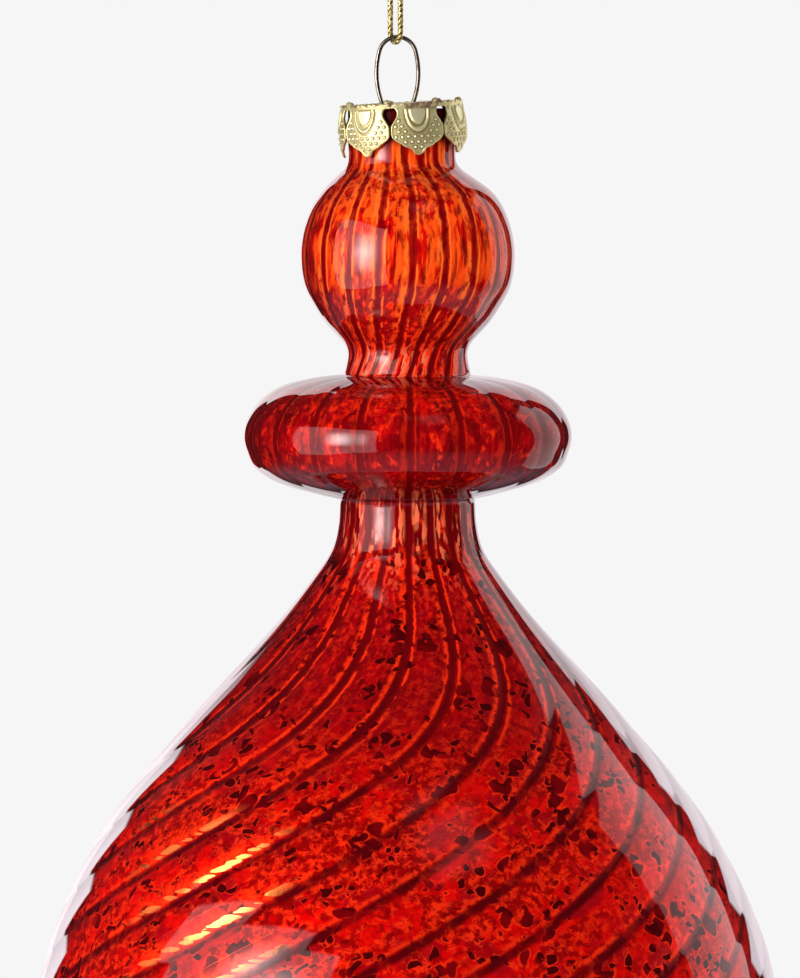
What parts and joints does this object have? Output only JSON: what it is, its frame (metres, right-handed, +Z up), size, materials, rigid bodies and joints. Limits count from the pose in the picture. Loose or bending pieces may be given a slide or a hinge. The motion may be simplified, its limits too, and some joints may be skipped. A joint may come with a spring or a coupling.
{
  "type": "finial ornament",
  "caption": "Hanging blown-glass finial ornament with a fluted ball, a flat collar and a large swirled onion bulb, under a petalled metal cap with a wire eye and a loop of thread.",
  "frame": {"origin": "inside of the wire eye's crown, where the thread bears", "axes": "+Z up along the ornament's length, -Y towards the front of the picture"},
  "size_m": [0.1068, 0.1068, 0.2253],
  "materials": {
    "red_glass": "glossy red glass over a speckled mirror silvering",
    "cap_brass": "stamped pale brass, satin",
    "wire_steel": "dark drawn spring wire",
    "gold_thread": "twisted metallic thread"
  },
  "bodies": {
    "root": {"glass_body": "red_glass", "cap": "cap_brass", "hanger_wire": "wire_steel", "hanging_cord": "gold_thread", "cord_knot": "gold_thread"}
  },
  "joints": []
}
